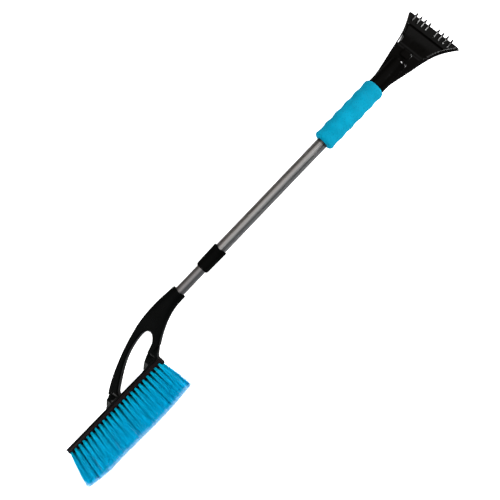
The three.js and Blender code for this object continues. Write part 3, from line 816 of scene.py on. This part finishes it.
pockets = [
    np.array([(-262, -46), (-262, -36), (-257, -32.5), (-250, -35), (-248, -46)]),
    np.array([(-176, -45.5), (-175.5, -42.5), (-168, -37.5), (-161, -37), (-160, -45.5)]),
]


def end_slope(x, z):
    return (np.abs(z) - BAR_HALF + END_SLOPE * (x - END_SLOPE_START)) * 0.88


def throat_distance(x, y, z):
    """The throat as a solid whose section changes from an ellipse at the mouth to a soft box."""
    upper, lower, power = throat_upper(x), throat_lower(x), throat_power(x)
    half = (upper - lower) / 2
    across = np.abs((y - (upper + lower) / 2) / half)
    up = np.abs(z / YOKE_HALF)
    size = (across ** power + up ** power) ** (1 / power)
    return (size - 1) * np.minimum(half, YOKE_HALF)


def yoke_body(x, y, z):
    """The throat, the legs with their webs and pockets, and the rail, without the holes."""
    legs = slab(flat_distance(x, y, yoke_outline), z, YOKE_HALF, YOKE_ROUND)
    throat = both(throat_distance(x, y, z), x - MOUTH, MOUTH_ROUND)
    share = smoothstep(x, BLEND_START, BLEND_END)
    body = legs * (1 - share) + throat * share
    for web in webs:
        body = either(body, slab(flat_distance(x, y, web), z, WEB_HALF, 1.0), WEB_FILLET)
    pocket_floor = POCKET_FLOOR + POCKET_RISE * np.clip(POCKET_TOP - y, 0, 10)
    for pocket in pockets:
        hollow = both(flat_distance(x, y, pocket), (pocket_floor - np.abs(z)) * 0.85, 0.6)
        body = both(body, -hollow, 2.0)
    body = either(body, slab(flat_distance(x, y, rail_outline), z, BAR_HALF, 0.8), 0.8)
    body = both(body, np.where(y < FOOT_TOP, end_slope(x, z), FAR_INSIDE), 0.8)
    for lip, start in FOOT_LIPS:
        facet = (np.abs(z) - YOKE_HALF + LIP_SLOPE * (lip - x)) * 0.93
        on_foot = (y < FOOT_TOP) & (y > FOOT_BOTTOM) & (x > start) & (x < lip + 1)
        body = both(body, np.where(on_foot, facet, FAR_INSIDE), 0.4)
    return body


def yoke_distance(x, y, z):
    """The yoke with its bore, the notch in its mouth and its screw holes."""
    body = yoke_body(x, y, z)
    bore = both(np.hypot(y, z) - TUBE_BORE, BORE_END - x)
    notch = MOUTH - MOUTH_NOTCH + MOUTH_NOTCH * np.abs(y) / MOUTH_NOTCH_HALF - x
    body = both(body, -bore, 0.3)
    body = both(body, -both(notch, np.abs(y) - MOUTH_NOTCH_HALF), 0.3)
    from_screw = np.hypot(x - YOKE_SCREW, y)
    body = both(body, -both(from_screw - SCREW_HEAD_HOLE, z + YOKE_HALF - YOKE_SCREW_HEAD_DEPTH))
    body = both(body, -both(from_screw - SCREW_HOLE, z - SCREW_HOLE_TOP))
    for screw_x in BLOCK_SCREWS:
        from_screw = np.hypot(x - screw_x, z)
        head_room = rail_face(x) - BLOCK_SCREW_HEAD_DEPTH - y
        body = both(body, -both(from_screw - BLOCK_SCREW_HEAD_HOLE, head_room))
        body = both(body, -(from_screw - BLOCK_SCREW_HOLE))
    return body


make_moulded(
    "yoke", "brush_pole", satin_black, yoke_distance,
    margin=2, fine=0.6, sharp_angle=40)

# ---- Brush block and bristles ------------------------------------------------

BLOCK_GAP = 0.3  # between the rail and the block
BLOCK_FRONT, BLOCK_TAPER, BLOCK_CROWN = 58.1, 3.4, 5.3
BLOCK_SCREW_DEPTH = 9
TUFTS, TUFT_PITCH, TUFT_RADIUS = 23, 9.15, 1.9
FIRST_TUFT = -161.6
TUFT_HOLE_DEPTH, TUFT_ROOT_DEPTH = 1.6, 1.2
ROW_HEIGHTS = (11, 3.7, -3.7, -11)
ROW_FAN = math.radians(0.27)  # by how much a row leans outwards, for each millimetre of its height


def block_front(x, z):
    share = (x - BAR_START) / (BAR_END - BAR_START)
    crown = BLOCK_CROWN * (1 - np.clip(z / BAR_HALF, -1, 1) ** 2)
    return -(BLOCK_FRONT - BLOCK_TAPER + BLOCK_TAPER * share + crown)


def block_distance(x, y, z):
    """The bar that holds the tufts, with a crowned front face full of holes."""
    top = y - (rail_face(x) - RAIL - BLOCK_GAP)
    bottom = (block_front(x, z) - y) * 0.85
    sides = both(np.abs(z) - BAR_HALF, between(x, BAR_START, BAR_END), 1.0)
    body = both(both(top, bottom, 0.8), sides, 0.8)
    body = both(body, end_slope(x, z), 0.8)
    nearest = np.clip(np.round((FIRST_TUFT - x) / TUFT_PITCH), 0, TUFTS - 1)
    tuft_x = FIRST_TUFT - nearest * TUFT_PITCH
    hole_floor = y - block_front(x, z) - TUFT_HOLE_DEPTH
    for height in ROW_HEIGHTS:
        body = both(body, -both(np.hypot(x - tuft_x, z - height) - TUFT_RADIUS - 0.1, hole_floor))
    for screw_x in BLOCK_SCREWS:
        from_screw = np.hypot(x - screw_x, z)
        body = both(body, -both(from_screw - BLOCK_SCREW_HOLE, rail_face(x) - BLOCK_SCREW_DEPTH - y))
    return body


make_moulded(
    "brush_block", "brush_pole", block_black, block_distance,
    margin=2, fine=0.55, sharp_angle=35)

BRISTLE_SEED = 11
STRANDS = 150  # in a tuft
STRAND_RADIUS = 0.2
STRAND_STATIONS = 8  # rings of points along a strand
STRAND_SIDES = 3
LOCKS = 7  # wisps in a tuft
TIP_SPREAD = (2.45, 0.35)  # how much wider a tuft is at its tips, and how uneven that is
TUFT_SWAY, LOCK_SWAY, STRAND_SWAY, STRAND_RISE = 0.8, 0.8, 0.6, 0.5
TIP_UNEVENNESS = 1.1
SHORT_SHARE, SHORT_LENGTH = 0.04, 6  # how many strands broke off, and how much they lost
CRIMP, CRIMP_WAVES = (0.05, 0.3), (4, 9)
tip_lean = curve([(-363, -14.8), (-345, -9), (-315, -6), (-280, -3.5), (-235, -1), (-200, 0), (-161, 3.5)])
tip_line = curve([(-363, 115.3), (-350, 118), (-300, 119.4), (-190, 120.4), (-161, 118.2)])


def sheaves(height, rng):
    """The centre lines of one row's strands, station by station, with each strand's turn and tone."""
    count = TUFTS * STRANDS
    tuft = np.repeat(FIRST_TUFT - TUFT_PITCH * np.arange(TUFTS), STRANDS)
    turn = rng.uniform(0, 2 * math.pi, count)
    out = TUFT_RADIUS * np.sqrt(rng.uniform(0, 1, count))
    off_x, off_z = out * np.cos(turn), out * np.sin(turn)
    root = block_front(tuft, np.full(count, height)) + TUFT_ROOT_DEPTH
    tuft_sway = np.repeat(rng.normal(0, TUFT_SWAY, TUFTS), STRANDS)
    spread = rng.normal(*TIP_SPREAD, count)
    lock = np.repeat(np.arange(TUFTS), STRANDS) * LOCKS + (turn / (2 * math.pi) * LOCKS).astype(int)
    lock_lean, lock_rise = rng.normal(0, LOCK_SWAY, (2, TUFTS * LOCKS))
    lock_tone = rng.uniform(0, 1, TUFTS * LOCKS)
    lean = tip_lean(tuft) + tuft_sway + lock_lean[lock] + rng.normal(0, STRAND_SWAY, count)
    tip_z = height + off_z * spread * 0.7 + lock_rise[lock] + rng.normal(0, STRAND_RISE, count)
    uneven = rng.normal(0, TIP_UNEVENNESS, count)
    uneven -= SHORT_LENGTH * (rng.uniform(0, 1, count) > 1 - SHORT_SHARE)
    tip_y = -(tip_line(tuft) + uneven)
    tip_z += math.sin(height * ROW_FAN) * (np.abs(tip_y) - BLOCK_FRONT)
    crimp = rng.uniform(*CRIMP, count)
    phase = rng.uniform(0, 2 * math.pi, count)
    waves = rng.uniform(*CRIMP_WAVES, count)
    bow_x, bow_z = rng.normal(0, 1.0, (2, count))
    tone = 0.5 * rng.uniform(0, 1, count) + 0.5 * lock_tone[lock]

    t = np.linspace(0, 1, STRAND_STATIONS)[:, None]
    opened = 1 - (1 - t) ** 1.5
    arch = np.sin(t * math.pi)
    ripple = crimp * np.sin(t * waves + phase) * t
    lines = np.stack([
        tuft + off_x + off_x * (spread - 1) * opened + lean * t + bow_x * arch * 0.5 + ripple,
        root + (tip_y - root) * t,
        height + off_z + (tip_z - height - off_z) * opened + bow_z * arch * 0.4 + ripple * 0.7,
    ], -1)
    return lines, phase, tone


def strand_mesh(lines, turn):
    """Closed, tapered strands around their centre lines, as points and triangles."""
    stations, count = lines.shape[:2]
    taper = np.interp(np.linspace(0, 1, stations), [0, 0.8, 1], [1, 0.9, 0.35])
    radius = STRAND_RADIUS * taper[:, None]
    corners = []
    for side in range(STRAND_SIDES):
        angle = 2 * math.pi * side / STRAND_SIDES + turn
        around = [radius * np.cos(angle), np.zeros((stations, count)), radius * np.sin(angle)]
        corners.append(lines + np.stack(around, -1))
    points = np.stack(corners, 2).reshape(-1, 3)
    index = np.arange(len(points)).reshape(stations, count, STRAND_SIDES)
    quads = []
    for side in range(STRAND_SIDES):
        after = (side + 1) % STRAND_SIDES
        near, far = index[:-1], index[1:]
        corners = [near[..., side], near[..., after], far[..., after], far[..., side]]
        quads.append(np.stack(corners, -1).reshape(-1, 4))
    quads = np.concatenate(quads)
    triangles = np.concatenate([quads[:, [0, 1, 2]], quads[:, [0, 2, 3]], index[0], index[-1][:, ::-1]])
    return points, triangles if signed_volume(points, triangles) > 0 else triangles[:, ::-1]


def make_bristles():
    """Four rows of tufts, each tuft a sheaf of fine strands with frayed tips."""
    rng = np.random.default_rng(BRISTLE_SEED)
    for number, height in enumerate(ROW_HEIGHTS, 1):
        lines, turn, tone = sheaves(height, rng)
        points, triangles = strand_mesh(lines, turn)
        shape = (STRAND_STATIONS, len(tone), STRAND_SIDES)
        along = np.linspace(0, 1, STRAND_STATIONS)[:, None, None]
        node = f"bristle_row_{number}"
        item = make_object(node + "_strands", points, triangles, 0)
        for key, values in (("along", along), ("tone", tone[None, :, None])):
            layer = item.data.attributes.new(key, "FLOAT", "POINT")
            layer.data.foreach_set("value", np.broadcast_to(values, shape).astype(np.float32).ravel())
        finish_piece(item, "brush_pole", bristle_blue, node)


make_bristles()

# ---- Screws and the hidden lock parts ----------------------------------------


def dress_cad_pieces():
    """The CAD pieces that nothing stands for keep their shapes and get a material."""
    for node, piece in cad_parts.items():
        if not piece.hide_render:
            piece.data.materials.clear()
            piece.data.materials.append(screw_metal if "screw" in node else nylon_grey)


dress_cad_pieces()

# ---- Floor, light and camera -------------------------------------------------

FLOOR_HALF = 6.0
FLOOR_DROP = 0.0005
SKY_LOW = (0.17, 0.17, 0.17)
SKY_BETWEEN = (
    (0.43, (0.17, 0.17, 0.17)),
    (0.58, (0.07, 0.07, 0.07)),
    (0.8, (0.06, 0.06, 0.06)),
    (0.9, (0.25, 0.25, 0.25)),
)
SKY_TOP = (0.5, 0.49, 0.485)
SKY_LEAN = 0.15  # how much the sky's layers lean across the pole
TINT_REACH = 0.9  # how far to each side the tint keeps changing
FRONT_TINT = (1.1, 1.14, 1.19)
BACK_TINT = (0.98, 0.91, 0.86)
CAMERA_PLACE = (73.7, -165.65, 1229.4)  # in the pole's frame
CAMERA_TILT = math.radians(6)  # towards the bristles' side
CAMERA_TURN = math.radians(46.24)  # of the pole in the picture
CAMERA_SENSOR, CAMERA_LENS = 36, 54.44


def area_light(name, target, toward, distance, size, energy, mirrored=False):
    """A square light facing a target. It is either soft daylight or only seen in reflections."""
    back = Vector(toward).normalized()
    light = bpy.data.lights.new(name, "AREA")
    light.shape = "SQUARE"
    light.size = size
    light.energy = energy
    item = bpy.data.objects.new(name, light)
    item.visible_glossy = mirrored
    item.visible_diffuse = not mirrored
    item.visible_camera = False
    item.location = ORIGIN + Vector(target) * MM + back * distance
    item.rotation_mode = "QUATERNION"
    item.rotation_quaternion = back.to_track_quat("Z", "Y")
    bpy.context.scene.collection.objects.link(item)


def make_floor():
    z = cad_box[0].z - FLOOR_DROP
    mesh = bpy.data.meshes.new("floor")
    corners = [(x * FLOOR_HALF, y * FLOOR_HALF, z) for x, y in ((-1, -1), (1, -1), (1, 1), (-1, 1))]
    mesh.from_pydata(corners, [], [(0, 1, 2, 3)])
    floor = bpy.data.objects.new("floor", mesh)
    bpy.context.scene.collection.objects.link(floor)
    nodes = surface("floor_white", (0.9, 0.9, 0.9), 0.9)
    tint = nodes.mix(nodes.noise(3, 2), (0.88, 0.88, 0.88), (0.92, 0.92, 0.92))
    mesh.materials.append(nodes.use(
        Base_Color=tint, Emission_Color=(1, 1, 1, 1), Emission_Strength=1.0, Specular_IOR_Level=0.0,
    ))
    floor.visible_glossy = False
    floor.visible_shadow = False


def make_world():
    """A soft sky: bright overhead, dim at the horizon, warm behind the tool and cool in front."""
    nodes = Nodes(bpy.data.worlds.new("studio"), "Background", "Generated")
    parts = nodes.add("SeparateXYZ", {"Vector": nodes.here}).outputs
    height = nodes.math("MULTIPLY_ADD", parts["Y"], SKY_LEAN, parts["Z"])
    sky = nodes.add("ValToRGB", {"Fac": nodes.ramp(height, -1, 1)})
    stops = sky.color_ramp.elements
    stops[0].position, stops[0].color = 0.0, (*SKY_LOW, 1)
    stops[1].position, stops[1].color = 1.0, (*SKY_TOP, 1)
    for position, colour in SKY_BETWEEN:
        stops.new(position).color = (*colour, 1)
    tint = nodes.mix(nodes.ramp(parts["Y"], -TINT_REACH, TINT_REACH), FRONT_TINT, BACK_TINT)
    colour = nodes.mix(1.0, sky.outputs["Color"], tint, "MULTIPLY")
    bpy.context.scene.world = nodes.use(Color=colour, Strength=1.0)


def make_camera():
    """Looks down on the tool as it lies, tilted a little to the bristles' side."""
    across = Vector((0, -math.cos(CAMERA_TILT), -math.sin(CAMERA_TILT)))
    back = Vector((0, -math.sin(CAMERA_TILT), math.cos(CAMERA_TILT)))
    right = Vector((math.cos(CAMERA_TURN), 0, 0)) + across * math.sin(CAMERA_TURN)
    up = Vector((math.sin(CAMERA_TURN), 0, 0)) - across * math.cos(CAMERA_TURN)
    spot = ORIGIN + Vector(CAMERA_PLACE) * MM
    data = bpy.data.cameras.new("camera")
    data.sensor_width = CAMERA_SENSOR
    data.lens = CAMERA_LENS
    camera = bpy.data.objects.new("camera", data)
    camera.matrix_world = Matrix((
        (right.x, up.x, back.x, spot.x),
        (right.y, up.y, back.y, spot.y),
        (right.z, up.z, back.z, spot.z),
        (0, 0, 0, 1),
    ))
    bpy.context.scene.collection.objects.link(camera)
    bpy.context.scene.camera = camera


make_floor()
make_world()
area_light("key", (70, -20, 0), (0.8, -0.45, 0.9), distance=1.6, size=0.7, energy=32)
area_light("fill", (70, -20, 0), (-0.75, 0.35, 0.9), distance=1.6, size=0.9, energy=25)
# The mirrored lights only make highlights: the first three mostly on the head, the last on the yoke.
area_light(
    "head_glint", (535, 0, 0), (0.62, -0.35, 0.7), distance=0.35, size=0.11, energy=3.6, mirrored=True)
area_light(
    "front_panel", (520, 0, 0), (0.8, 0.36, 0.47), distance=1.5, size=0.65, energy=1.4, mirrored=True)
area_light(
    "tooth_glint", (545, 0, 0), (0.355, -0.48, 0.8), distance=0.2, size=0.09, energy=3.2, mirrored=True)
area_light(
    "yoke_glint", (-205, -42, 0), (-0.83, 0.1, 0.55), distance=0.35, size=0.06, energy=0.6, mirrored=True)
make_camera()
bpy.context.scene.view_settings.view_transform = "Standard"
